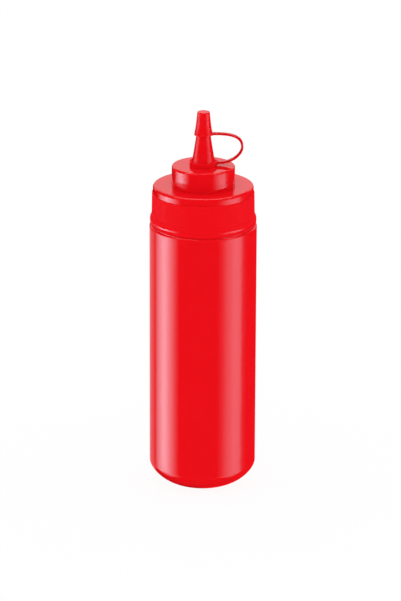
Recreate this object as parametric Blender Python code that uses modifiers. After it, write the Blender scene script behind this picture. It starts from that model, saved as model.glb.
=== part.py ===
"""A catering squeeze bottle for ketchup: the bottle, its screw lid with a nozzle, and the tethered cap."""

import math

import bmesh
import bpy

# Driving dimensions in metres, with heights measured from the surface that the bottle stands on.

# The bottle's body: a straight round wall, a soft lower edge and a small rounded shoulder.
BODY_RADIUS = 0.0350
SHOULDER_HEIGHT = 0.1780
SHOULDER_ROUNDING = 0.0016
FOOT_WIDTH = 0.0172
FOOT_HEIGHT = 0.0140
FOOT_FULLNESS = 1.55
PUSH_UP_RADIUS = 0.0110
PUSH_UP_DEPTH = 0.0008
NECK_RADIUS = 0.0295
NECK_HEIGHT = 0.1981

# The screw lid: a bead at its lower rim, a grip skirt, a plain top band, a turret and a nozzle.
RIM_HEIGHT = 0.1786
RIM_CORNER = 0.0012
BEAD_RADIUS = 0.0347
BEAD_HEIGHT = 0.1817
BEAD_RISE = 0.0034
BEAD_DROP = 0.0031
PLAIN_ELLIPSE = 2.0
SKIRT_FOOT_RADIUS = 0.03355
SKIRT_TOP_RADIUS = 0.03330
SKIRT_TOP_HEIGHT = 0.1996
STEP_CHAMFER = 0.0002
BAND_RADIUS = 0.03275
DECK_HEIGHT = 0.2041
DECK_ROUNDING = 0.0010
TURRET_RADIUS = 0.0205
TURRET_FOOT_RADIUS = 0.0209
TURRET_FOOT_HEIGHT = 0.2077
TURRET_FLARE = 0.0024
TURRET_HEIGHT = 0.2171
TURRET_ROUNDING = 0.0016
NOZZLE_FOOT_RADIUS = 0.0079
NOZZLE_RADIUS_AT_RIM = 0.00465
NOZZLE_TIP_RADIUS = 0.0032
NOZZLE_TIP_HEIGHT = 0.2486
NOZZLE_SWEEP = 1.10

# The cap on the nozzle, with its strap and the ring that the strap holds on to.
CAP_RIM_HEIGHT = 0.2382
CAP_RIM_RADIUS = 0.0059
CAP_RIM_BAND = 0.0016
CAP_WAIST_RADIUS = 0.0053
CAP_WAIST_HEIGHT = 0.2422
CAP_TOP_RADIUS = 0.0040
CAP_TOP_HEIGHT = 0.2537
CAP_ROUNDING = 0.0007
RING_RADIUS = 0.0092
RING_WALL = 0.00085
RING_DEPTH = 0.0029
RING_ROUNDING = 0.0003
STRAP_THICKNESS = 0.0013
STRAP_WIDTH = 0.0030
STRAP_REACH = 0.0252
STRAP_REACH_HEIGHT = 0.2302
STRAP_CAP_END = 0.0053
STRAP_RING_END = 0.0088
STRAP_PULL = 0.76
STRAP_LIFT = 0.0005
STRAP_DIP = 0.0006
STRAP_UPPER_HANDLE = 0.0064
STRAP_LOWER_HANDLE = 0.0052

# What separates one moulding from the next.
FIT_GAP = 0.0003
MERGE_DISTANCE = 0.00001

# How finely the round forms and the curves of a profile are cut.
BODY_STEPS = 64
CAP_STEPS = 40
STRAP_STEPS = 12
FOOT_STEPS = 10
NOZZLE_STEPS = 7
EDGE_STEPS = 4

KETCHUP_RED = (0.847, 0.0056, 0.0110, 1.0)
BOTTLE_ROUGHNESS = 0.22
LID_ROUGHNESS = 0.25
CAP_ROUGHNESS = 0.28


def clear_scene():
    """Remove whatever the open file holds."""
    for old in list(bpy.data.objects):
        bpy.data.objects.remove(old, do_unlink=True)


def make_collection(name):
    """Add a collection to the scene."""
    collection = bpy.data.collections.new(name)
    bpy.context.scene.collection.children.link(collection)
    return collection


def plastic(name, roughness):
    """A moulded polyethylene in the ketchup red."""
    material = bpy.data.materials.new(name)
    material.use_nodes = True
    shader = material.node_tree.nodes["Principled BSDF"]
    shader.inputs["Base Color"].default_value = KETCHUP_RED
    shader.inputs["Roughness"].default_value = roughness
    shader.inputs["Metallic"].default_value = 0.0
    return material


def arc(centre, radius, start, end, steps):
    """Points on a circle in the profile plane, from one angle in degrees to another."""
    points = []
    for step in range(steps + 1):
        angle = math.radians(start + (end - start) * step / steps)
        points.append((centre[0] + radius * math.cos(angle), centre[1] + radius * math.sin(angle)))
    return points


def fullness_curve(centre, width, height, fullness, steps):
    """A quarter of a superellipse, from its widest point down to its lowest."""
    points = []
    for step in range(steps + 1):
        angle = math.pi / 2 * step / steps
        across = width * math.cos(angle) ** (2 / fullness)
        along = height * math.sin(angle) ** (2 / fullness)
        points.append((centre[0] + across, centre[1] - along))
    return points


def bezier(points, steps):
    """Points along a cubic curve given by its two ends and two handles."""
    first, second, third, fourth = points
    result = []
    for step in range(steps + 1):
        t = step / steps
        weights = ((1 - t) ** 3, 3 * t * (1 - t) ** 2, 3 * t * t * (1 - t), t ** 3)
        corners = (first, second, third, fourth)
        result.append(tuple(sum(w * c[axis] for w, c in zip(weights, corners)) for axis in range(2)))
    return result


def turned(name, profile, steps, collection, closed=False):
    """A solid of revolution about the vertical axis, from a profile that runs down its outer side."""
    mesh = bpy.data.meshes.new(name)
    vertices = [(radius, 0.0, height) for radius, height in profile]
    edges = [(index, index + 1) for index in range(len(vertices) - 1)]
    if closed:
        edges.append((len(vertices) - 1, 0))
    mesh.from_pydata(vertices, edges, [])
    solid = bpy.data.objects.new(name, mesh)
    collection.objects.link(solid)
    screw = solid.modifiers.new("turn", "SCREW")
    screw.axis = "Z"
    screw.angle = 2 * math.pi
    screw.steps = steps
    screw.render_steps = steps
    screw.use_merge_vertices = True
    screw.merge_threshold = MERGE_DISTANCE
    screw.use_smooth_shade = True
    return solid


def bottle_profile():
    """The bottle: neck, shoulder, straight wall, soft foot and the shallow push-up under it."""
    shoulder = (BODY_RADIUS - SHOULDER_ROUNDING, SHOULDER_HEIGHT - SHOULDER_ROUNDING)
    foot = (BODY_RADIUS - FOOT_WIDTH, FOOT_HEIGHT)
    profile = [(0.0, NECK_HEIGHT), (NECK_RADIUS, NECK_HEIGHT), (NECK_RADIUS, SHOULDER_HEIGHT)]
    profile += arc(shoulder, SHOULDER_ROUNDING, 90, 0, EDGE_STEPS)
    profile += fullness_curve(foot, FOOT_WIDTH, FOOT_HEIGHT, FOOT_FULLNESS, FOOT_STEPS)
    profile += [(PUSH_UP_RADIUS, 0.0), (PUSH_UP_RADIUS - 2 * PUSH_UP_DEPTH, PUSH_UP_DEPTH)]
    profile += [(0.0, PUSH_UP_DEPTH)]
    return profile


def nozzle_radius(height):
    """Radius of the nozzle's outer wall, which sweeps out towards its foot."""
    rise = (CAP_RIM_HEIGHT - height) / (CAP_RIM_HEIGHT - TURRET_HEIGHT)
    flare = (NOZZLE_FOOT_RADIUS - NOZZLE_RADIUS_AT_RIM) * rise ** NOZZLE_SWEEP
    return NOZZLE_RADIUS_AT_RIM + flare


def nozzle_profile():
    """The nozzle from its tip, inside the cap, down to the turret's top."""
    profile = [(0.0, NOZZLE_TIP_HEIGHT), (NOZZLE_TIP_RADIUS, NOZZLE_TIP_HEIGHT)]
    for step in range(NOZZLE_STEPS + 1):
        height = CAP_RIM_HEIGHT + (TURRET_HEIGHT - CAP_RIM_HEIGHT) * step / NOZZLE_STEPS
        profile.append((nozzle_radius(height), height))
    return profile


def turret_profile():
    """The turret's rounded top edge, its wall and the slightly wider foot on the deck."""
    edge = (TURRET_RADIUS - TURRET_ROUNDING, TURRET_HEIGHT - TURRET_ROUNDING)
    profile = arc(edge, TURRET_ROUNDING, 90, 0, EDGE_STEPS)
    profile += [(TURRET_RADIUS, TURRET_FOOT_HEIGHT + TURRET_FLARE)]
    profile += [(TURRET_FOOT_RADIUS, TURRET_FOOT_HEIGHT), (TURRET_FOOT_RADIUS, DECK_HEIGHT)]
    return profile


def bead_profile():
    """The bead round the lid's lower rim: a long upper slope and a full lower half."""
    proud = BEAD_RADIUS - SKIRT_FOOT_RADIUS
    profile = []
    for step in range(EDGE_STEPS + 1):
        angle = math.pi / 2 * step / EDGE_STEPS
        radius = SKIRT_FOOT_RADIUS + proud * math.sin(angle) ** 2
        profile.append((radius, BEAD_HEIGHT + BEAD_RISE * math.cos(angle)))
    corner = (BEAD_RADIUS - RIM_CORNER, RIM_HEIGHT + BEAD_DROP)
    profile += fullness_curve(corner, RIM_CORNER, BEAD_DROP, PLAIN_ELLIPSE, EDGE_STEPS)[1:]
    return profile


def lid_profile():
    """The lid from the nozzle's tip to the rim, then up inside the socket for the bottle's neck."""
    deck = (BAND_RADIUS - DECK_ROUNDING, DECK_HEIGHT - DECK_ROUNDING)
    socket_radius = NECK_RADIUS + FIT_GAP
    socket_height = NECK_HEIGHT + FIT_GAP
    profile = nozzle_profile() + turret_profile()
    profile += arc(deck, DECK_ROUNDING, 90, 0, EDGE_STEPS)
    profile += [(BAND_RADIUS, SKIRT_TOP_HEIGHT), (SKIRT_TOP_RADIUS - STEP_CHAMFER, SKIRT_TOP_HEIGHT)]
    profile += [(SKIRT_TOP_RADIUS, SKIRT_TOP_HEIGHT - STEP_CHAMFER)]
    profile += bead_profile()
    profile += [(socket_radius, RIM_HEIGHT), (socket_radius, socket_height), (0.0, socket_height)]
    return profile


def cap_profile():
    """The tapered cap with its rim, and the socket that slips over the nozzle's tip."""
    edge = (CAP_TOP_RADIUS - CAP_ROUNDING, CAP_TOP_HEIGHT - CAP_ROUNDING)
    profile = [(0.0, CAP_TOP_HEIGHT)] + arc(edge, CAP_ROUNDING, 90, 0, EDGE_STEPS)
    profile += [(CAP_WAIST_RADIUS, CAP_WAIST_HEIGHT), (CAP_RIM_RADIUS, CAP_RIM_HEIGHT + CAP_RIM_BAND)]
    profile += [(CAP_RIM_RADIUS, CAP_RIM_HEIGHT)]
    profile += [(NOZZLE_RADIUS_AT_RIM + FIT_GAP, CAP_RIM_HEIGHT)]
    profile += [(NOZZLE_TIP_RADIUS + FIT_GAP, NOZZLE_TIP_HEIGHT + FIT_GAP)]
    profile += [(0.0, NOZZLE_TIP_HEIGHT + FIT_GAP)]
    return profile


def ring_profile():
    """The flat ring that lies on the turret, round the nozzle's foot."""
    low = TURRET_HEIGHT + FIT_GAP
    high = low + RING_DEPTH
    inner = RING_RADIUS - RING_WALL
    upper = (RING_RADIUS - RING_ROUNDING, high - RING_ROUNDING)
    profile = arc(upper, RING_ROUNDING, 90, 0, EDGE_STEPS)
    profile += [(RING_RADIUS, low), (inner, low), (inner, high)]
    return profile


def strap_centreline():
    """The strap's bend: out level from the cap's rim, round, and back level to the ring."""
    cap_end = (STRAP_CAP_END, CAP_RIM_HEIGHT + STRAP_THICKNESS / 2)
    ring_end = (STRAP_RING_END, TURRET_HEIGHT + FIT_GAP + RING_DEPTH - STRAP_THICKNESS / 2)
    reach = (STRAP_REACH, STRAP_REACH_HEIGHT)
    pull = STRAP_PULL * STRAP_REACH
    over = (STRAP_REACH, STRAP_REACH_HEIGHT + STRAP_UPPER_HANDLE)
    under = (STRAP_REACH, STRAP_REACH_HEIGHT - STRAP_LOWER_HANDLE)
    upper = (cap_end, (pull, cap_end[1] + STRAP_LIFT), over, reach)
    lower = (reach, under, (pull, ring_end[1] - STRAP_DIP), ring_end)
    return bezier(upper, STRAP_STEPS) + bezier(lower, STRAP_STEPS)[1:]


def strap_outline():
    """Both sides of the strap, half its thickness away from the centreline."""
    line = strap_centreline()
    outer, inner = [], []
    for index, (x, z) in enumerate(line):
        before = line[max(index - 1, 0)]
        after = line[min(index + 1, len(line) - 1)]
        run = math.hypot(after[0] - before[0], after[1] - before[1])
        side = ((after[1] - before[1]) / run, -(after[0] - before[0]) / run)
        outer.append((x - side[0] * STRAP_THICKNESS / 2, z - side[1] * STRAP_THICKNESS / 2))
        inner.append((x + side[0] * STRAP_THICKNESS / 2, z + side[1] * STRAP_THICKNESS / 2))
    return outer + inner[::-1]


def make_strap(collection):
    """The strap as a flat outline with its width as depth, made a closed mesh."""
    curve = bpy.data.curves.new("strap_outline", "CURVE")
    curve.dimensions = "2D"
    curve.fill_mode = "BOTH"
    curve.extrude = STRAP_WIDTH / 2
    outline = strap_outline()
    spline = curve.splines.new("POLY")
    spline.points.add(len(outline) - 1)
    for point, (x, z) in zip(spline.points, outline):
        point.co = (x, z, 0.0, 1.0)
    spline.use_cyclic_u = True
    guide = bpy.data.objects.new("strap_outline", curve)
    guide.rotation_euler = (math.pi / 2, 0.0, 0.0)
    collection.objects.link(guide)
    bpy.context.view_layer.update()
    evaluated = guide.evaluated_get(bpy.context.evaluated_depsgraph_get())
    mesh = bpy.data.meshes.new_from_object(evaluated)
    cage = bmesh.new()
    cage.from_mesh(mesh)
    bmesh.ops.remove_doubles(cage, verts=cage.verts, dist=MERGE_DISTANCE)
    bmesh.ops.recalc_face_normals(cage, faces=cage.faces)
    cage.to_mesh(mesh)
    cage.free()
    strap = bpy.data.objects.new("strap", mesh)
    strap.matrix_world = guide.matrix_world
    collection.objects.link(strap)
    bpy.data.objects.remove(guide, do_unlink=True)
    return strap


def join_to(solid, piece):
    """Fuse a shape into a solid, and keep the shape itself out of the model."""
    union = solid.modifiers.new("fuse_" + piece.name, "BOOLEAN")
    union.operation = "UNION"
    union.solver = "EXACT"
    union.object = piece
    piece.hide_render = True
    piece.display_type = "WIRE"


def make_bottle(collection):
    """The blown bottle, shut and opaque, so a solid."""
    bottle = turned("bottle", bottle_profile(), BODY_STEPS, collection)
    bottle.data.materials.append(plastic("bottle_plastic", 0.22))
    return bottle


def make_lid(collection):
    """The moulded screw lid with its turret and nozzle."""
    lid = turned("screw_lid", lid_profile(), BODY_STEPS, collection)
    lid.data.materials.append(plastic("lid_plastic", 0.25))
    return lid


def make_cap(collection, shapes):
    """The nozzle cap, its strap and its ring, moulded as one piece."""
    cap = turned("nozzle_cap", cap_profile(), CAP_STEPS, collection)
    cap.data.materials.append(plastic("cap_plastic", 0.28))
    join_to(cap, make_strap(shapes))
    join_to(cap, turned("strap_ring", ring_profile(), CAP_STEPS, shapes, closed=True))
    return cap


def main():
    """Build the three mouldings on one upright axis and parent them to the object's empty."""
    clear_scene()
    pieces = make_collection("ketchup squeeze bottle")
    shapes = make_collection("joined shapes")
    origin = bpy.data.objects.new("ketchup_squeeze_bottle", None)
    pieces.objects.link(origin)
    for piece in (make_bottle(pieces), make_lid(pieces), make_cap(pieces, shapes)):
        piece.parent = origin


main()
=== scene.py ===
# %% [markdown]
# # A squeeze bottle for ketchup
# The bottle is three mouldings in the same red polyethylene: a blown bottle, a screw lid with a nozzle, and
# a small cap that a looped strap keeps with the bottle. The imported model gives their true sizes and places.
# It could be dressed as it is, but its facets would show in the gloss. So each moulding is made again with a
# smooth surface and its own finish, and stands exactly where its solid is.

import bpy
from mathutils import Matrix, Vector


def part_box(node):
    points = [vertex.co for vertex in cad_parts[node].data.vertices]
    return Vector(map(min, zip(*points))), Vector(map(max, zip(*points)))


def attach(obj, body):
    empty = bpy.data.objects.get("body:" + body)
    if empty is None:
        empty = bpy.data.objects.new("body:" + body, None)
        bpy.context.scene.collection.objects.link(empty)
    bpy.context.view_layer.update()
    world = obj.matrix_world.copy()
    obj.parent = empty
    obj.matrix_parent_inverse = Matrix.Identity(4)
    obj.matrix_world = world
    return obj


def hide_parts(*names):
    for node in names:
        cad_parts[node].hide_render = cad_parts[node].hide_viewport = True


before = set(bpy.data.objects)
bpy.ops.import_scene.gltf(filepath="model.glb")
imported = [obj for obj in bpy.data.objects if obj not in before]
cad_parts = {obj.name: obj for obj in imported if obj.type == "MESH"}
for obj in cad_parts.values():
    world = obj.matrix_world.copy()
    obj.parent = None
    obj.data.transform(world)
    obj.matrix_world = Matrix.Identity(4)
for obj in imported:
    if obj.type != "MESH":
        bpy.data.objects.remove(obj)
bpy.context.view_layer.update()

# %% [markdown]
# ## Sizes
# The outer sizes come straight from the solids: a node's box gives the widest radius and the top. They could
# be typed in again, but then they might drift from the solids. What a box can't give is a driving size of an
# outline, and stands next to the outline that uses it. Everything is in metres, +Z up, the base on z = 0.

# %% Sizes from the solids
import math

import bmesh
import bpy
from mathutils import Quaternion, Vector

BODY = "root"
base, neck_top = (corner.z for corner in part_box("bottle"))
body_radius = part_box("bottle")[1].x
rim_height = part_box("screw_lid")[0].z
bead_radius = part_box("screw_lid")[1].x
nozzle_tip_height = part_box("screw_lid")[1].z
ring_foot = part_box("nozzle_cap")[0].z
cap_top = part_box("nozzle_cap")[1].z
strap_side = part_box("nozzle_cap")[1].x
print(f"body radius {body_radius:.4f}, strap out to {strap_side:.4f}")
print(f"rim at {rim_height:.4f}, top at {cap_top:.4f}")

# %% [markdown]
# ## Drawing an outline
# A turned piece is fully described by half of its section. It could be drawn by hand, point by point, or got
# from a Bevel modifier, but then no rounding could be changed on its own. So two helpers draw it. One takes
# corners with a rounding for each, as a mould maker would dimension them, and lays an arc into every corner.
# The other is a quarter of a superellipse, for a foot that is softer than a plain arc.

# %% Helpers for outlines
ARC_STEPS = 10
HOLD = 0.00015
LEAST_FLAT = 3 * HOLD
ROUND_FULLNESS = 2.0


def corner_arc(before, here, after, rounding):
    """The points of an arc that rounds one corner, held at both ends so that flat faces keep a flat shine."""
    room_before, room_after = Vector(before) - Vector(here), Vector(after) - Vector(here)
    to_before, to_after = room_before.normalized(), room_after.normalized()
    half = to_before.angle(to_after) / 2
    centre = Vector(here) + (to_before + to_after).normalized() * rounding / math.sin(half)
    cut = rounding / math.tan(half)
    start = Vector(here) + to_before * cut - centre
    end = Vector(here) + to_after * cut - centre
    first = math.atan2(start.y, start.x)
    turn = (math.atan2(end.y, end.x) - first + math.pi) % (2 * math.pi) - math.pi
    angles = [first + turn * step / ARC_STEPS for step in range(ARC_STEPS + 1)]
    points = [(centre.x + rounding * math.cos(a), centre.y + rounding * math.sin(a)) for a in angles]
    if room_before.length > cut + LEAST_FLAT:
        points.insert(0, tuple(Vector(here) + to_before * (cut + HOLD)))
    if room_after.length > cut + LEAST_FLAT:
        points.append(tuple(Vector(here) + to_after * (cut + HOLD)))
    return points


def rounded_outline(corners):
    """An outline from (radius, height, rounding) corners, its first and last point left sharp."""
    points = [corners[0][:2]]
    for before, here, after in zip(corners, corners[1:], corners[2:]):
        if here[2]:
            points += corner_arc(before[:2], here[:2], after[:2], here[2])
        else:
            points.append(here[:2])
    return points + [corners[-1][:2]]


def soft_quarter(centre, width, height, fullness, steps):
    """A quarter of a superellipse, from its widest point down to its lowest."""
    points = []
    for step in range(steps + 1):
        angle = math.pi / 2 * step / steps
        across = width * math.cos(angle) ** (2 / fullness)
        points.append((centre[0] + across, centre[1] - height * math.sin(angle) ** (2 / fullness)))
    return points


print("an arc takes", ARC_STEPS + 1, "points")

# %% [markdown]
# ## A lathe in Geometry Nodes
# All three mouldings have turned parts, so one node tree is the lathe for them. A Screw modifier could do the
# turning too, but a tree keeps it, the weld, the shading and the material in one place, with named inputs.
# It takes the outline that the object carries as a chain of edges, makes it a curve, sweeps it round a hub
# circle and welds the pole. The same tree cuts a wide bottle or a thin ring.

# %% Build the lathe
WELD = 0.000004


def new_tree(name, sizes):
    """A geometry tree with a geometry in, a geometry out, a material and named sizes."""
    tree = bpy.data.node_groups.new(name, "GeometryNodeTree")
    tree.is_modifier = True
    tree.interface.new_socket("Geometry", in_out="INPUT", socket_type="NodeSocketGeometry")
    for label, kind in sizes:
        tree.interface.new_socket(label, in_out="INPUT", socket_type=kind)
    tree.interface.new_socket("Material", in_out="INPUT", socket_type="NodeSocketMaterial")
    tree.interface.new_socket("Geometry", in_out="OUTPUT", socket_type="NodeSocketGeometry")
    return tree


def finish_tree(tree, geometry, source):
    """Smooth shading, realized instances and the material: the end that every tree here shares."""
    smooth = tree.nodes.new("GeometryNodeSetShadeSmooth")
    real = tree.nodes.new("GeometryNodeRealizeInstances")
    paint = tree.nodes.new("GeometryNodeSetMaterial")
    out = tree.nodes.new("NodeGroupOutput")
    tree.links.new(geometry, smooth.inputs["Geometry"])
    tree.links.new(smooth.outputs["Geometry"], real.inputs["Geometry"])
    tree.links.new(real.outputs["Geometry"], paint.inputs["Geometry"])
    tree.links.new(source.outputs["Material"], paint.inputs["Material"])
    tree.links.new(paint.outputs["Geometry"], out.inputs["Geometry"])


def lathe_tree():
    """Turns an outline that lies in the XZ plane about the Z axis."""
    tree = new_tree("lathe", [("Segments", "NodeSocketInt"), ("Hub radius", "NodeSocketFloat")])
    source = tree.nodes.new("NodeGroupInput")
    outline = tree.nodes.new("GeometryNodeMeshToCurve")
    shift = tree.nodes.new("ShaderNodeCombineXYZ")
    inward = tree.nodes.new("ShaderNodeMath")
    inward.operation = "MULTIPLY"
    inward.inputs[1].default_value = -1.0
    to_hub = tree.nodes.new("GeometryNodeTransform")
    lie_flat = tree.nodes.new("GeometryNodeTransform")
    lie_flat.inputs["Rotation"].default_value = (math.pi / 2, 0.0, 0.0)
    hub = tree.nodes.new("GeometryNodeCurvePrimitiveCircle")
    sweep = tree.nodes.new("GeometryNodeCurveToMesh")
    weld = tree.nodes.new("GeometryNodeMergeByDistance")
    weld.inputs["Distance"].default_value = WELD
    link = tree.links.new
    link(source.outputs["Geometry"], outline.inputs["Mesh"])
    link(source.outputs["Hub radius"], inward.inputs[0])
    link(inward.outputs[0], shift.inputs["X"])
    link(outline.outputs["Curve"], to_hub.inputs["Geometry"])
    link(shift.outputs["Vector"], to_hub.inputs["Translation"])
    link(to_hub.outputs["Geometry"], lie_flat.inputs["Geometry"])
    link(source.outputs["Segments"], hub.inputs["Resolution"])
    link(source.outputs["Hub radius"], hub.inputs["Radius"])
    link(hub.outputs["Curve"], sweep.inputs["Curve"])
    link(lie_flat.outputs["Geometry"], sweep.inputs["Profile Curve"])
    link(sweep.outputs["Mesh"], weld.inputs["Geometry"])
    finish_tree(tree, weld.outputs["Geometry"], source)
    return tree


LATHE = lathe_tree()
print("lathe inputs:", [item.name for item in LATHE.interface.items_tree if item.in_out == "INPUT"])

# %% [markdown]
# ## From a tree to a plain mesh
# A finished piece has to be an ordinary closed mesh at the origin. The modifier could be applied by an
# operator, but that needs a selection, so these helpers work on the data instead. They hang a tree on an
# outline, set its inputs by their identifiers, evaluate it and keep the result. Then they point the faces
# outwards, which a signed volume proves, and mark as sharp only what is really a sharp edge.

# %% Helpers that run a tree
SHARP_ANGLE = math.radians(32)


def chain_object(name, points, closed=False):
    """An object that carries (x, z) points as a chain of edges in the XZ plane."""
    mesh = bpy.data.meshes.new(name)
    edges = [(index, index + 1) for index in range(len(points) - 1)]
    if closed:
        edges.append((len(points) - 1, 0))
    mesh.from_pydata([(x, 0.0, z) for x, z in points], edges, [])
    carrier = bpy.data.objects.new(name, mesh)
    bpy.context.scene.collection.objects.link(carrier)
    return carrier


def set_inputs(modifier, values):
    """Give a tree's named inputs their values, through the sockets' identifiers."""
    for item in modifier.node_group.interface.items_tree:
        if item.in_out == "INPUT" and item.name in values:
            modifier[item.identifier] = values[item.name]


def face_outwards(mesh):
    """Weld, turn every face outwards and return the enclosed volume."""
    cage = bmesh.new()
    cage.from_mesh(mesh)
    bmesh.ops.remove_doubles(cage, verts=cage.verts, dist=WELD)
    bmesh.ops.recalc_face_normals(cage, faces=cage.faces)
    if cage.calc_volume(signed=True) < 0:
        bmesh.ops.reverse_faces(cage, faces=cage.faces)
    volume = cage.calc_volume(signed=True)
    open_edges = sum(1 for edge in cage.edges if len(edge.link_faces) != 2)
    cage.to_mesh(mesh)
    cage.free()
    return volume, open_edges


def plain_piece(carrier, name):
    """The evaluated object as a plain closed mesh under its final name."""
    evaluated = carrier.evaluated_get(bpy.context.evaluated_depsgraph_get())
    mesh = bpy.data.meshes.new_from_object(evaluated)
    bpy.data.objects.remove(carrier, do_unlink=True)
    volume, open_edges = face_outwards(mesh)
    mesh.name = name
    mesh.shade_smooth()
    mesh.set_sharp_from_angle(angle=SHARP_ANGLE)
    piece = bpy.data.objects.new(name, mesh)
    bpy.context.scene.collection.objects.link(piece)
    print(f"{name}: {len(mesh.polygons)} faces, {volume * 1e6:.1f} cm3, open edges {open_edges}")
    return piece


def turn(name, points, segments, hub, material, closed=False):
    """A turned piece: the outline on the lathe."""
    carrier = chain_object(name + "_outline", points, closed)
    modifier = carrier.modifiers.new("lathe", "NODES")
    modifier.node_group = LATHE
    set_inputs(modifier, {"Segments": segments, "Hub radius": hub, "Material": material})
    return plain_piece(carrier, name)


print("sharp above", round(math.degrees(SHARP_ANGLE)), "degrees")

# %% [markdown]
# ## The red
# The plastic is coloured right through, an opaque slightly cool red. A flat colour with gloss would do from
# far away, but polyethylene lets a little light in, so the shader scatters it just under the skin. Under the
# even light of a white studio the red hardly changes, so what tells the mouldings apart is how they mirror.
# These helpers build the parts that all the finishes share.

# %% Colours and the helpers for finishes
KETCHUP_RED = (0.893, 0.0066, 0.0122, 1.0)
KETCHUP_RED_DEEP = (0.868, 0.0060, 0.0113, 1.0)
PLASTIC_IOR = 1.5
SHINE_THROUGH = (0.0005, 0.0002, 0.0002)
NOISE_LOW = 0.3
NOISE_HIGH = 0.7


def new_finish(name):
    """A material with its shader set up, and the object's coordinates."""
    material = bpy.data.materials.new(name)
    material.use_nodes = True
    nodes = material.node_tree.nodes
    shader = nodes["Principled BSDF"]
    shader.inputs["IOR"].default_value = PLASTIC_IOR
    shader.inputs["Metallic"].default_value = 0.0
    shader.inputs["Subsurface Weight"].default_value = 1.0
    shader.inputs["Subsurface Radius"].default_value = SHINE_THROUGH
    shader.inputs["Subsurface Scale"].default_value = 1.0
    place = nodes.new("ShaderNodeTexCoord")
    return material, shader, place.outputs["Object"]


def noise(material, vector, scale, detail=2.0, stretch=(1.0, 1.0, 1.0)):
    """A noise on the object's coordinates, stretched along any axis."""
    nodes = material.node_tree.nodes
    mapping = nodes.new("ShaderNodeMapping")
    mapping.inputs["Scale"].default_value = stretch
    texture = nodes.new("ShaderNodeTexNoise")
    texture.inputs["Scale"].default_value = scale
    texture.inputs["Detail"].default_value = detail
    material.node_tree.links.new(vector, mapping.inputs["Vector"])
    material.node_tree.links.new(mapping.outputs["Vector"], texture.inputs["Vector"])
    return texture.outputs["Fac"]


def shine_between(material, shader, texture, low, high):
    """Roughness that wanders between two values with a noise."""
    node = material.node_tree.nodes.new("ShaderNodeMapRange")
    node.inputs["From Min"].default_value = NOISE_LOW
    node.inputs["From Max"].default_value = NOISE_HIGH
    node.inputs["To Min"].default_value = low
    node.inputs["To Max"].default_value = high
    material.node_tree.links.new(texture, node.inputs["Value"])
    material.node_tree.links.new(node.outputs["Result"], shader.inputs["Roughness"])


def mixed_red(material, shader, factor, share=1.0):
    """The two reds, mixed by a slow noise, and both deeper where the share is under one."""
    blend = material.node_tree.nodes.new("ShaderNodeMix")
    blend.data_type = "RGBA"
    blend.inputs["A"].default_value = (*(share * value for value in KETCHUP_RED_DEEP[:3]), 1.0)
    blend.inputs["B"].default_value = (*(share * value for value in KETCHUP_RED[:3]), 1.0)
    material.node_tree.links.new(factor, blend.inputs["Factor"])
    material.node_tree.links.new(blend.outputs["Result"], shader.inputs["Base Color"])


def bump(material, shader, height, distance, before=None):
    """A relief that is too fine for the mesh."""
    node = material.node_tree.nodes.new("ShaderNodeBump")
    node.inputs["Distance"].default_value = distance
    material.node_tree.links.new(height, node.inputs["Height"])
    if before is not None:
        material.node_tree.links.new(before, node.inputs["Normal"])
    material.node_tree.links.new(node.outputs["Normal"], shader.inputs["Normal"])
    return node.outputs["Normal"]


print("red:", KETCHUP_RED[:3])

# %% [markdown]
# ## The blown bottle's finish
# Hot plastic that is blown against a cold mould never comes out quite even. A perfect mirror would look like
# glass, so the gloss wanders slowly over the wall, and a very low relief bends what it mirrors. A second, far
# finer relief is stretched upright, as the lines are that the die leaves in the tube before it is blown.

# %% Make the blown bottle's finish
def blown_plastic():
    """Gloss with a slow unevenness, and faint upright lines from the die."""
    material, shader, place = new_finish("bottle_plastic")
    mixed_red(material, shader, noise(material, place, scale=28.0))
    patches = noise(material, place, scale=60.0, detail=3.0, stretch=(1.0, 1.0, 0.15))
    shine_between(material, shader, patches, low=0.06, high=0.11)
    waves = bump(material, shader, noise(material, place, scale=45.0, detail=1.0), distance=0.00006)
    die_lines = noise(material, place, scale=700.0, detail=2.0, stretch=(1.0, 1.0, 0.04))
    bump(material, shader, die_lines, distance=0.000004, before=waves)
    return material


BOTTLE_PLASTIC = blown_plastic()
print("bottle:", BOTTLE_PLASTIC.name)

# %% [markdown]
# ## The finishes of the lid and the cap
# These two are injected under pressure, so they copy the tool's polish more evenly than the bottle does. The
# lid is the glossiest. Its grip is matt, and so is the ring at the nozzle's foot: both hardly mirror at all,
# which a high roughness alone wouldn't give, so their specular level is lowered too. The cap is a little
# softer than the lid. The thin strap takes the cap's finish in a deeper red. That red is painted shade: it
# stands in for the shade that falls on the strap's underside.

# %% Make the finishes of the lid and the cap
# painted shade: this share darkens the strap's red to stand in for the shade on its underside
STRAP_SHADE_SHARE = 0.84
MATT_SPECULAR = 0.06


def lid_plastic():
    """The lid's gloss, with a very slight unevenness."""
    material, shader, place = new_finish("lid_plastic")
    mixed_red(material, shader, noise(material, place, scale=40.0))
    shine_between(material, shader, noise(material, place, scale=90.0, detail=3.0), low=0.04, high=0.08)
    bump(material, shader, noise(material, place, scale=70.0, detail=1.0), distance=0.00003)
    return material


def matt_plastic(name):
    """The matt, finely grained finish of a grip, which hardly mirrors anything."""
    material, shader, place = new_finish(name)
    mixed_red(material, shader, noise(material, place, scale=40.0))
    shader.inputs["Specular IOR Level"].default_value = MATT_SPECULAR
    shine_between(material, shader, noise(material, place, scale=300.0, detail=3.0), low=0.5, high=0.65)
    bump(material, shader, noise(material, place, scale=2600.0, detail=2.0), distance=0.00001)
    return material


def cap_plastic(name, share):
    """A slightly softer shine than the lid's. The thin strap takes it in a deeper red, painted shade for its
    underside.
    """
    material, shader, place = new_finish(name)
    mixed_red(material, shader, noise(material, place, scale=60.0), share)
    shine_between(material, shader, noise(material, place, scale=160.0, detail=3.0), low=0.07, high=0.12)
    bump(material, shader, noise(material, place, scale=240.0, detail=1.0), distance=0.00001)
    return material


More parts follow.
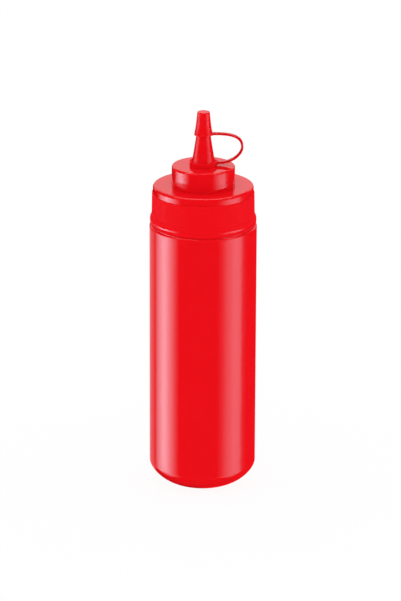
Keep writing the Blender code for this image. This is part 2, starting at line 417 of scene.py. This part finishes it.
LID_PLASTIC = lid_plastic()
LID_MATT_PLASTIC = matt_plastic("lid_matt_plastic")
CAP_PLASTIC = cap_plastic("cap_plastic", 1.0)
# the strap's finish is the cap's in a red darkened as painted shade
STRAP_SHADED_PLASTIC = cap_plastic("strap_shaded_plastic", STRAP_SHADE_SHARE)
RING_MATT_PLASTIC = matt_plastic("ring_matt_plastic")
MOULDED_FINISHES = (LID_PLASTIC, LID_MATT_PLASTIC, CAP_PLASTIC, STRAP_SHADED_PLASTIC, RING_MATT_PLASTIC)
print("moulded:", [finish.name for finish in MOULDED_FINISHES])

# %% [markdown]
# ## The bottle
# The bottle is blown into a two-part mould, which gives the straight wall, a soft foot and a small rounded
# shoulder. It is opaque and shut, so it could be a hollow shell or a solid and look the same; it stays solid,
# and a plain plug stands in the lid where its neck is. A low land on the shoulder closes the slit under the
# lid. The foot is softer than an arc, so it is a superellipse, and the wall has rings of its own, because
# long thin faces would shade unevenly.

# %% Turn the bottle
SHOULDER_HEIGHT = 0.1780
SHOULDER_ROUNDING = 0.0012
LAND_RADIUS = 0.0340
LAND_HEIGHT = 0.17855
LAND_ROUNDING = 0.0002
FOOT_WIDTH = 0.0172
FOOT_HEIGHT = 0.0140
FOOT_FULLNESS = 1.55
FOOT_STEPS = 48
WALL_RINGS = 40
PUSH_UP_RADIUS = 0.0110
PUSH_UP_DEPTH = 0.0008
PUSH_UP_ROUNDING = 0.0005
NECK_RADIUS = 0.0295
BOTTLE_SEGMENTS = 256


def bottle_outline():
    """Neck plug, shoulder, wall, foot and the shallow push-up under the base."""
    wall_top = SHOULDER_HEIGHT - SHOULDER_ROUNDING
    upper = [(0.0, neck_top, 0.0), (NECK_RADIUS, neck_top, 0.0), (NECK_RADIUS, LAND_HEIGHT, 0.0)]
    upper += [(LAND_RADIUS, LAND_HEIGHT, LAND_ROUNDING), (LAND_RADIUS, SHOULDER_HEIGHT, 0.0)]
    upper += [(body_radius, SHOULDER_HEIGHT, SHOULDER_ROUNDING), (body_radius, FOOT_HEIGHT, 0.0)]
    points = rounded_outline(upper)[:-1]
    for ring in range(1, WALL_RINGS):
        points.append((body_radius, wall_top + (FOOT_HEIGHT - wall_top) * ring / WALL_RINGS))
    flat_radius = body_radius - FOOT_WIDTH
    points += soft_quarter((flat_radius, FOOT_HEIGHT), FOOT_WIDTH, FOOT_HEIGHT, FOOT_FULLNESS, FOOT_STEPS)
    push_up = [(flat_radius, base, 0.0), (PUSH_UP_RADIUS, base, PUSH_UP_ROUNDING)]
    push_up += [(PUSH_UP_RADIUS - 2 * PUSH_UP_DEPTH, PUSH_UP_DEPTH, PUSH_UP_ROUNDING)]
    push_up += [(0.0, PUSH_UP_DEPTH, 0.0)]
    return points + rounded_outline(push_up)[1:]


bottle = turn("blown_bottle", bottle_outline(), BOTTLE_SEGMENTS, body_radius, BOTTLE_PLASTIC)
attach(bottle, BODY)
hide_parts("bottle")

# %% [markdown]
# ## The screw lid
# One outline runs from the nozzle's tip, hidden in the cap, down over the turret and the deck to the bead at
# the rim, and back up inside the socket. The steps could be stacked cylinders, but then every inner corner
# would hide faces, and one turned outline has none. Every corner that a hand meets is rounded, and the turret
# flares a little at its foot. The step below the top band edges the matt grip. The bead's crest shines, so
# the matt finish goes on in two bands, one above the crest and one below it.

# %% Turn the lid
BEAD_HEIGHT = 0.1817
BEAD_RISE = 0.0034
BEAD_DROP = 0.0031
RIM_CORNER = 0.0007
SKIRT_FOOT_RADIUS = 0.03355
SKIRT_TOP_RADIUS = 0.03330
SKIRT_TOP_HEIGHT = 0.1996
STEP_ROUNDING = 0.0002
BAND_RADIUS = 0.03275
DECK_HEIGHT = 0.2047
DECK_ROUNDING = 0.0018
TURRET_RADIUS = 0.0205
TURRET_FOOT_RADIUS = 0.0208
TURRET_FOOT_HEIGHT = 0.2064
TURRET_FLARE = 0.0034
TURRET_HEIGHT = 0.2178
TURRET_ROUNDING = 0.0013
TURRET_FLARE_ROUNDING = 0.0200
NOZZLE_FOOT_RADIUS = 0.0079
NOZZLE_RADIUS_AT_RIM = 0.00465
NOZZLE_TIP_RADIUS = 0.0032
NOZZLE_SWEEP = 1.10
NOZZLE_RINGS = 24
CAP_RIM_HEIGHT = 0.2382
FIT_GAP = 0.0003
BEAD_STEPS = 14
CREST_LOW = 0.1810
CREST_HIGH = 0.1820
LID_SEGMENTS = 256


def nozzle_outline():
    """The nozzle's wall, which sweeps out towards the turret."""
    points = [(0.0, nozzle_tip_height), (NOZZLE_TIP_RADIUS, nozzle_tip_height)]
    for ring in range(NOZZLE_RINGS):
        share = ring / NOZZLE_RINGS
        radius = NOZZLE_RADIUS_AT_RIM + (NOZZLE_FOOT_RADIUS - NOZZLE_RADIUS_AT_RIM) * share ** NOZZLE_SWEEP
        points.append((radius, CAP_RIM_HEIGHT + (TURRET_HEIGHT - CAP_RIM_HEIGHT) * share))
    return points


def bead_outline():
    """The bead: a long upper slope that leaves the skirt softly, and a full lower half."""
    proud = bead_radius - SKIRT_FOOT_RADIUS
    points = []
    for step in range(BEAD_STEPS + 1):
        angle = math.pi / 2 * step / BEAD_STEPS
        radius = SKIRT_FOOT_RADIUS + proud * math.sin(angle) ** 2
        points.append((radius, BEAD_HEIGHT + BEAD_RISE * math.cos(angle)))
    centre = (bead_radius - RIM_CORNER, rim_height + BEAD_DROP)
    return points + soft_quarter(centre, RIM_CORNER, BEAD_DROP, ROUND_FULLNESS, BEAD_STEPS)[1:]


def lid_outline():
    """Nozzle, turret, deck, band, skirt, bead and the socket for the neck."""
    flare_top = TURRET_FOOT_HEIGHT + TURRET_FLARE
    corners = [(*nozzle_outline()[-1], 0.0), (NOZZLE_FOOT_RADIUS, TURRET_HEIGHT, 0.0)]
    corners += [(TURRET_RADIUS, TURRET_HEIGHT, TURRET_ROUNDING)]
    corners += [(TURRET_RADIUS, flare_top, TURRET_FLARE_ROUNDING)]
    corners += [(TURRET_FOOT_RADIUS, TURRET_FOOT_HEIGHT, TURRET_FLARE_ROUNDING)]
    corners += [(TURRET_FOOT_RADIUS, DECK_HEIGHT, 0.0), (BAND_RADIUS, DECK_HEIGHT, DECK_ROUNDING)]
    corners += [(BAND_RADIUS, SKIRT_TOP_HEIGHT, STEP_ROUNDING)]
    corners += [(SKIRT_TOP_RADIUS, SKIRT_TOP_HEIGHT, STEP_ROUNDING)]
    corners += [(SKIRT_FOOT_RADIUS, BEAD_HEIGHT + BEAD_RISE, 0.0)]
    points = nozzle_outline()[:-1] + rounded_outline(corners)[:-1] + bead_outline()
    socket_radius = NECK_RADIUS + FIT_GAP
    socket_top = neck_top + FIT_GAP
    return points + [(socket_radius, rim_height), (socket_radius, socket_top), (0.0, socket_top)]


def give_bands(piece, material, bands, least_radius, most_radius):
    """A second material on the faces between pairs of heights and between two radii."""
    piece.data.materials.append(material)
    slot = len(piece.data.materials) - 1
    banded = 0
    for face in piece.data.polygons:
        x, y, z = face.center
        if least_radius < math.hypot(x, y) < most_radius and any(low < z < high for low, high in bands):
            face.material_index = slot
            banded += 1
    print(piece.name, "has", banded, "matt faces")


lid = turn("moulded_lid", lid_outline(), LID_SEGMENTS, bead_radius, LID_PLASTIC)
MATT_BANDS = [(rim_height, CREST_LOW), (CREST_HIGH, SKIRT_TOP_HEIGHT + STEP_ROUNDING)]
give_bands(lid, LID_MATT_PLASTIC, MATT_BANDS, BAND_RADIUS - FIT_GAP, body_radius)
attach(lid, BODY)
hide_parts("screw_lid")

# %% [markdown]
# ## A sweep in Geometry Nodes
# The strap is a flat ribbon with rounded edges that follows one bend. A curve with a bevel could do it, but
# it can't swell where the strap grows out of its mouldings. So a second tree sweeps a rounded rectangle along
# the path and makes it a little thicker at both ends. The ribbon's width stays level because the curve's
# normal is fixed along Y.

# %% Build the sweep
FADE_BASE = 2.718
EDGE_STEPS = 4


def sweep_tree():
    """A ribbon along a path in the XZ plane, with a swelling at its two ends."""
    lengths = [(label, "NodeSocketFloat") for label in ("Width", "Thickness", "Edge")]
    root = [(label, "NodeSocketFloat") for label in ("Root swell", "Root length")]
    tree = new_tree("ribbon", [*lengths, ("Points", "NodeSocketInt"), *root])
    node, link = tree.nodes.new, tree.links.new
    source = node("NodeGroupInput")
    path = node("GeometryNodeMeshToCurve")
    even = node("GeometryNodeResampleCurve")
    level = node("GeometryNodeSetCurveNormal")
    level.mode = "FREE"
    level.inputs["Normal"].default_value = (0.0, 1.0, 0.0)
    along = node("GeometryNodeSplineParameter")
    total = node("GeometryNodeSplineLength")
    link(source.outputs["Geometry"], path.inputs["Mesh"])
    link(path.outputs["Curve"], even.inputs["Curve"])
    link(source.outputs["Points"], even.inputs["Count"])
    link(even.outputs["Curve"], level.inputs["Curve"])

    def maths(operation, first, second):
        step = node("ShaderNodeMath")
        step.operation = operation
        for socket, value in zip(step.inputs, (first, second)):
            if isinstance(value, float):
                socket.default_value = value
            else:
                link(value, socket)
        return step.outputs[0]

    to_end = maths("SUBTRACT", total.outputs["Length"], along.outputs["Length"])
    nearest = maths("MINIMUM", along.outputs["Length"], to_end)
    roots_away = maths("DIVIDE", nearest, source.outputs["Root length"])
    fading = maths("POWER", FADE_BASE, maths("MULTIPLY", roots_away, -1.0))
    scale = maths("ADD", maths("MULTIPLY", fading, source.outputs["Root swell"]), 1.0)
    section = node("GeometryNodeCurvePrimitiveQuadrilateral")
    soft = node("GeometryNodeFilletCurve")
    soft.mode = "POLY"
    soft.inputs["Count"].default_value = EDGE_STEPS
    link(source.outputs["Width"], section.inputs["Width"])
    link(source.outputs["Thickness"], section.inputs["Height"])
    link(section.outputs["Curve"], soft.inputs["Curve"])
    link(source.outputs["Edge"], soft.inputs["Radius"])
    swept = node("GeometryNodeCurveToMesh")
    swept.inputs["Fill Caps"].default_value = True
    link(level.outputs["Curve"], swept.inputs["Curve"])
    link(soft.outputs["Curve"], swept.inputs["Profile Curve"])
    link(scale, swept.inputs["Scale"])
    finish_tree(tree, swept.outputs["Mesh"], source)
    return tree


RIBBON = sweep_tree()
print("ribbon inputs:", [item.name for item in RIBBON.interface.items_tree if item.in_out == "INPUT"])

# %% [markdown]
# ## The nozzle cap, its strap and its ring
# These three are one moulding, so that the cap can't get lost. The cap is a taper that flares to its rim and
# has a socket for the nozzle's tip. The ring sits on the turret and hugs the nozzle. Both are round, so they
# come off the lathe: the cap as an outline from pole to pole, the ring as a closed one.

# %% Make the cap and the ring
CAP_RIM_RADIUS = 0.0060
CAP_TOP_RADIUS = 0.0040
CAP_TAPER = 0.103
CAP_FLARE_HEIGHT = 0.2469
CAP_FLARE_POWER = 2
CAP_RINGS = 20
CAP_ROUNDING = 0.0003
CAP_EDGE = 0.0002
RING_RADIUS = 0.0090
RING_DEPTH = 0.0033
RING_FOOT_INNER = 0.0081
RING_TOP_INNER = 0.00745
RING_ROUNDING = 0.0003
SMALL_SEGMENTS = 96


def cap_outline():
    """The tapered cap that flares to its rim, and the socket over the nozzle's tip."""
    flare_end = CAP_RIM_HEIGHT + 2 * CAP_EDGE
    plain_radius = CAP_TOP_RADIUS + CAP_TAPER * (cap_top - flare_end)
    walls = []
    for ring in range(CAP_RINGS + 1):
        height = CAP_FLARE_HEIGHT + (flare_end - CAP_FLARE_HEIGHT) * ring / CAP_RINGS
        radius = CAP_TOP_RADIUS + CAP_TAPER * (cap_top - height)
        flare = (CAP_RIM_RADIUS - plain_radius) * (ring / CAP_RINGS) ** CAP_FLARE_POWER
        walls.append((radius + flare, height, 0.0))
    corners = [(0.0, cap_top, 0.0), (CAP_TOP_RADIUS, cap_top, CAP_ROUNDING), *walls]
    corners += [(CAP_RIM_RADIUS, CAP_RIM_HEIGHT, CAP_EDGE)]
    corners += [(NOZZLE_RADIUS_AT_RIM + FIT_GAP, CAP_RIM_HEIGHT, CAP_EDGE)]
    socket_top = nozzle_tip_height + FIT_GAP
    corners += [(NOZZLE_TIP_RADIUS + FIT_GAP, socket_top, 0.0), (0.0, socket_top, 0.0)]
    return rounded_outline(corners)


def ring_outline():
    """The ring on the turret, a closed outline that hugs the nozzle."""
    top = ring_foot + RING_DEPTH
    corners = [(RING_FOOT_INNER, ring_foot, 0.0), (RING_TOP_INNER, top, CAP_EDGE)]
    corners += [(RING_RADIUS, top, RING_ROUNDING), (RING_RADIUS, ring_foot, CAP_EDGE)]
    corners += [(RING_FOOT_INNER, ring_foot, 0.0)]
    return rounded_outline(corners)[:-1]


cap = turn("cap", cap_outline(), SMALL_SEGMENTS, CAP_RIM_RADIUS, CAP_PLASTIC)
ring = turn("ring", ring_outline(), SMALL_SEGMENTS, RING_RADIUS, CAP_PLASTIC, closed=True)

# %% [markdown]
# ## The strap
# A strap like this is moulded nearly straight, and bends when the cap goes on. Bending a straight ribbon
# with a modifier would need its free length, which doesn't show. The bend itself does, so its path is drawn:
# two cubic curves that meet upright at the widest point, one from the cap's rim and one to the ring.

# %% Make the strap
STRAP_THICKNESS = 0.0015
STRAP_WIDTH = 0.0030
STRAP_EDGE = 0.00045
STRAP_REACH_HEIGHT = 0.2302
STRAP_CAP_END = 0.0053
STRAP_RING_END = 0.0088
STRAP_ROOT_HEIGHT = 0.00225
STRAP_UPPER_PULL = 0.79
STRAP_LOWER_PULL = 0.72
STRAP_LIFT = 0.0005
STRAP_DIP = 0.0006
STRAP_UPPER_HANDLE = 0.0064
STRAP_LOWER_HANDLE = 0.0050
STRAP_POINTS = 90
ROOT_SWELL = 0.25
ROOT_LENGTH = 0.0012


def bezier(points, steps):
    """Points along a cubic curve from its two ends and two handles."""
    result = []
    for step in range(steps + 1):
        t = step / steps
        weights = ((1 - t) ** 3, 3 * t * (1 - t) ** 2, 3 * t * t * (1 - t), t ** 3)
        result.append(tuple(sum(w * c[axis] for w, c in zip(weights, points)) for axis in range(2)))
    return result


def strap_path():
    """Out level from the cap's rim, round the bend, and back level to the ring."""
    reach = strap_side - STRAP_THICKNESS / 2
    cap_end = (STRAP_CAP_END, CAP_RIM_HEIGHT + STRAP_THICKNESS / 2)
    ring_end = (STRAP_RING_END, ring_foot + STRAP_ROOT_HEIGHT)
    out = (reach, STRAP_REACH_HEIGHT)
    over, under = (reach, out[1] + STRAP_UPPER_HANDLE), (reach, out[1] - STRAP_LOWER_HANDLE)
    upper = bezier((cap_end, (STRAP_UPPER_PULL * reach, cap_end[1] + STRAP_LIFT), over, out), STRAP_POINTS)
    lower = bezier((out, under, (STRAP_LOWER_PULL * reach, ring_end[1] - STRAP_DIP), ring_end), STRAP_POINTS)
    return upper + lower[1:]


def make_strap():
    """The ribbon swept along the strap's path."""
    carrier = chain_object("strap_path", strap_path())
    modifier = carrier.modifiers.new("ribbon", "NODES")
    modifier.node_group = RIBBON
    set_inputs(modifier, {"Width": STRAP_WIDTH, "Thickness": STRAP_THICKNESS, "Edge": STRAP_EDGE,
                          "Points": STRAP_POINTS, "Root swell": ROOT_SWELL, "Root length": ROOT_LENGTH,
                          "Material": STRAP_SHADED_PLASTIC})
    return plain_piece(carrier, "strap")


strap = make_strap()

# %% [markdown]
# ## One moulding
# The cap, the strap and the ring overlap where they meet. Left so, they would keep walls inside each other
# and the piece wouldn't be closed. A Boolean union melts them together. Its material mode carries over the
# strap's own finish, a deeper red that is painted shade, and the ring's outer faces then take the matt one.

# %% Join them into one moulding
def fuse(name, main, others):
    """One closed piece from several that overlap."""
    for other in others:
        union = main.modifiers.new("fuse", "BOOLEAN")
        union.operation = "UNION"
        union.solver = "EXACT"
        union.material_mode = "TRANSFER"
        union.object = other
    piece = plain_piece(main, name)
    for other in others:
        bpy.data.objects.remove(other, do_unlink=True)
    return piece


cap_moulding = fuse("cap_strap_and_ring", cap, [strap, ring])
RING_HEIGHTS = [(ring_foot, ring_foot + RING_DEPTH)]
give_bands(cap_moulding, RING_MATT_PLASTIC, RING_HEIGHTS, 0.0, RING_RADIUS + RING_ROUNDING)
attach(cap_moulding, BODY)
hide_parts("nozzle_cap")

# %% [markdown]
# ## The studio
# The bottle stands on a pale floor in even white light, so the red stays flat and clean. Lamps alone would
# give hard dots on a glossy wall and shadows beside it. So the light that makes the red and the light that
# makes the shine are kept apart: the world is white for everything but reflections, and what the gloss
# mirrors comes in the next cells. The floor glows a little, so that its soft shadow stays light.

# %% The even light and the floor
FLOOR_SIZE = 3.0
FLOOR_GLOW = 0.93
FLOOR_PAINT = 0.07


def make_world():
    """White all round for the eye and for soft light, dark for reflections."""
    world = bpy.data.worlds.new("studio")
    world.use_nodes = True
    sky = world.node_tree.nodes["Background"]
    sky.inputs["Color"].default_value = (1.0, 1.0, 1.0, 1.0)
    sky.inputs["Strength"].default_value = 1.0
    world.cycles_visibility.glossy = False
    bpy.context.scene.world = world


def make_floor():
    """A pale table that glows a little, so that its soft shadow stays light."""
    material = bpy.data.materials.new("pale_floor")
    material.use_nodes = True
    shader = material.node_tree.nodes["Principled BSDF"]
    shader.inputs["Base Color"].default_value = (FLOOR_PAINT, FLOOR_PAINT, FLOOR_PAINT, 1.0)
    shader.inputs["Roughness"].default_value = 1.0
    shader.inputs["Specular IOR Level"].default_value = 0.0
    shader.inputs["Emission Color"].default_value = (1.0, 1.0, 1.0, 1.0)
    shader.inputs["Emission Strength"].default_value = FLOOR_GLOW
    mesh = bpy.data.meshes.new("floor")
    half = FLOOR_SIZE / 2
    mesh.from_pydata([(-half, -half, base), (half, -half, base), (half, half, base), (-half, half, base)], [],
                     [(0, 1, 2, 3)])
    mesh.materials.append(material)
    floor = bpy.data.objects.new("floor", mesh)
    bpy.context.scene.collection.objects.link(floor)
    floor.visible_glossy = False


make_world()
make_floor()
bpy.context.scene.view_settings.view_transform = "Standard"
print("floor", FLOOR_SIZE, "m across")

# %% [markdown]
# ## The light banks
# On the real bottle two long highlights stand left and right, bright inside and soft at their edges. A plain
# bright card would give them hard edges. So each side has a curved bank of light, which only reflections can
# see. One table gives its brightness by the direction round the bottle, in degrees from the camera, and
# another the share of it by the height in metres. A low bank behind the left edge and a red one behind the
# right edge give the wall's outermost sliver the tint that it has there.

# %% Build the light banks
BANK_RADIUS = 0.60
BANK_STEP = 1.5
LEFT_BANK = [(51, 0.0), (58, 0.6), (66, 2.1), (74, 3.6), (82, 5.2), (91, 5.8), (100, 3.8), (111, 1.7),
             (117, 0.8), (122, 0.15), (127, 0.0)]
RIGHT_BANK = [(31, 0.0), (41, 0.36), (55, 1.6), (70, 2.4), (78, 2.3), (87, 1.6), (96, 0.46), (106, 0.03)]
LOW_BACK_BANK = [(120, 0.15), (128, 0.35), (140, 0.37), (160, 0.5), (180, 0.5)]
RED_BANK = [(90, 0.2), (106, 0.7), (180, 0.85)]
LEFT_LEVELS = [(-0.80, 0.1), (-0.50, 0.45), (-0.33, 0.8), (-0.19, 1.0), (0.05, 1.0), (0.09, 0.2), (0.13, 0.2),
               (0.165, 0.37), (0.25, 0.0)]
RIGHT_LEVELS = [(-0.80, 0.4), (-0.50, 0.7), (-0.19, 1.0), (0.08, 1.0), (0.31, 0.0)]
LOW_BACK_LEVELS = [(-0.36, 1.0), (0.0, 1.0)]
RED_LEVELS = [(-0.80, 1.0), (0.25, 1.0)]
BANK_WHITE = (0.5, 1.0, 1.15, 1.0)
BANK_PINK = (1.8, 1.0, 1.05, 1.0)
BANK_RED = (1.0, 0.006, 0.011, 1.0)


def glow_at(table, angle):
    """Brightness in a direction, read between the steps of a table."""
    for (start, first), (end, second) in zip(table, table[1:]):
        if start <= angle <= end:
            return first + (second - first) * (angle - start) / (end - start)
    return table[-1][1]


def glow_material(name, colour):
    """Light whose strength is the mesh's own attribute."""
    material = bpy.data.materials.new(name)
    material.use_nodes = True
    nodes, links = material.node_tree.nodes, material.node_tree.links
    nodes.clear()
    strength = nodes.new("ShaderNodeAttribute")
    strength.attribute_name = "glow"
    light = nodes.new("ShaderNodeEmission")
    light.inputs["Color"].default_value = colour
    out = nodes.new("ShaderNodeOutputMaterial")
    links.new(strength.outputs["Fac"], light.inputs["Strength"])
    links.new(light.outputs["Emission"], out.inputs["Surface"])
    return material


def only_for_reflections(name, vertices, faces, glow, colour):
    """A glowing stage piece that nothing but a reflection sees."""
    mesh = bpy.data.meshes.new(name)
    mesh.from_pydata(vertices, [], faces)
    attribute = mesh.attributes.new("glow", "FLOAT", "POINT")
    attribute.data.foreach_set("value", glow)
    mesh.materials.append(glow_material(name, colour))
    card = bpy.data.objects.new(name, mesh)
    bpy.context.scene.collection.objects.link(card)
    card.visible_camera = False
    card.visible_diffuse = False
    card.visible_transmission = False
    card.visible_shadow = False


def make_bank(name, bank, side, levels, colour):
    """A curved upright panel on one side, its glow set by the column and by the level."""
    vertices, faces, glow = [], [], []
    first, last = bank[0][0], bank[-1][0]
    columns = math.ceil((last - first) / BANK_STEP)
    rows = len(levels)
    for column in range(columns + 1):
        angle = first + (last - first) * column / columns
        x = side * BANK_RADIUS * math.sin(math.radians(angle))
        y = -BANK_RADIUS * math.cos(math.radians(angle))
        vertices += [(x, y, height) for height, share in levels]
        glow += [glow_at(bank, angle) * share for height, share in levels]
        for row in range(1, rows):
            if column:
                here = column * rows + row
                faces.append((here - rows - 1, here - 1, here, here - rows))
    only_for_reflections(name, vertices, faces, glow, colour)


make_bank("left_bank", LEFT_BANK, -1, LEFT_LEVELS, BANK_WHITE)
make_bank("right_bank", RIGHT_BANK, 1, RIGHT_LEVELS, BANK_WHITE)
make_bank("low_back_bank", LOW_BACK_BANK, -1, LOW_BACK_LEVELS, BANK_PINK)
make_bank("red_bank", RED_BANK, 1, RED_LEVELS, BANK_RED)
print("banks", BANK_RADIUS, "m from the bottle")

# %% [markdown]
# ## The bright dome
# The level tops of the deck and the turret mirror what is behind and above the bottle. In a studio that is
# the white paper, which curves up and over. A flat card would end in a line on the deck, so this is a part
# of a sphere whose brightness falls off as it rises.

# %% Build the bright dome
DOME_WHITE = (1.15, 0.97, 0.99, 1.0)
DOME_RADIUS = 1.3
DOME_CENTRE = 0.2
DOME_LOW = 6
DOME_HIGH = 76
DOME_GLOW = [(6, 0.76), (25, 0.76), (40, 0.5), (60, 0.25), (76, 0.25)]
DOME_HALF_ANGLE = 45
DOME_COLUMNS = 40
DOME_ROWS = 24


def make_dome():
    """A white shell that rises behind the bottle and arches over it, which the flat tops mirror."""
    vertices, faces, glow = [], [], []
    for column in range(DOME_COLUMNS + 1):
        turn_angle = math.radians(DOME_HALF_ANGLE * (2 * column / DOME_COLUMNS - 1))
        for row in range(DOME_ROWS + 1):
            degrees = DOME_LOW + (DOME_HIGH - DOME_LOW) * row / DOME_ROWS
            glow.append(glow_at(DOME_GLOW, degrees))
            rise = math.radians(degrees)
            across = DOME_RADIUS * math.cos(rise)
            height = DOME_CENTRE + DOME_RADIUS * math.sin(rise)
            vertices.append((across * math.sin(turn_angle), across * math.cos(turn_angle), height))
            if column and row:
                here = column * (DOME_ROWS + 1) + row
                left = here - DOME_ROWS - 1
                faces.append((left - 1, left, here, here - 1))
    only_for_reflections("bright_dome", vertices, faces, glow, DOME_WHITE)


make_dome()
print("dome", DOME_RADIUS, "m from the bottle")

# %% [markdown]
# ## The strip light
# Every rounded upper edge of the lid carries a thin bright line. A rounding turns through all directions
# between level and upright, so a light high above shows in it as a thin line, and hardly anywhere else. A
# small lamp would draw a dot there; a long strip keeps the line going round the front of the bottle.

# %% Build the strip light
STRIP_HALF_LENGTH = 1.2
STRIP_FRONT = -0.20
STRIP_BACK = 0.30
STRIP_HEIGHT = 1.5
STRIP_GLOW = 3.0


def make_strip():
    """A long light overhead, which draws a thin line along every rounded upper edge."""
    corners = [(-1, STRIP_FRONT), (1, STRIP_FRONT), (1, STRIP_BACK), (-1, STRIP_BACK)]
    vertices = [(side * STRIP_HALF_LENGTH, depth, STRIP_HEIGHT) for side, depth in corners]
    only_for_reflections("strip_light", vertices, [(0, 1, 2, 3)], [STRIP_GLOW] * 4, DOME_WHITE)


make_strip()
print("strip light", STRIP_HEIGHT, "m above the floor")

# %% [markdown]
# ## The camera
# The photograph looks down on the bottle by about nineteen degrees through a long lens. A camera with a
# target to look at would be quicker to place, but it couldn't be fitted. So distance, height and tilt are
# numbers, found from the outline: how the wall narrows downwards, and how open the round tops look.

# %% Place the camera
IMAGE_WIDTH = 401
IMAGE_HEIGHT = 601
SENSOR = 36.0
CAMERA_DISTANCE = 2.2268
CAMERA_HEIGHT = 0.8922
CAMERA_TILT = 0.3318
CAMERA_ROLL = math.radians(0.22)
FOCAL_PIXELS = 3589.1
AXIS_PIXEL = 202.85


def make_camera():
    """The camera at the photograph's angle, with a small shift for its framing."""
    data = bpy.data.cameras.new("camera")
    data.sensor_width = SENSOR
    data.lens = FOCAL_PIXELS * SENSOR / IMAGE_HEIGHT
    data.shift_x = -(AXIS_PIXEL - IMAGE_WIDTH / 2) / IMAGE_HEIGHT
    camera = bpy.data.objects.new("camera", data)
    bpy.context.scene.collection.objects.link(camera)
    camera.location = (0.0, -CAMERA_DISTANCE, CAMERA_HEIGHT)
    camera.rotation_mode = "QUATERNION"
    look_down = Quaternion((1.0, 0.0, 0.0), math.pi / 2 - CAMERA_TILT)
    camera.rotation_quaternion = look_down @ Quaternion((0.0, 0.0, 1.0), CAMERA_ROLL)
    bpy.context.scene.camera = camera
    print(f"lens {data.lens:.1f} mm")


make_camera()
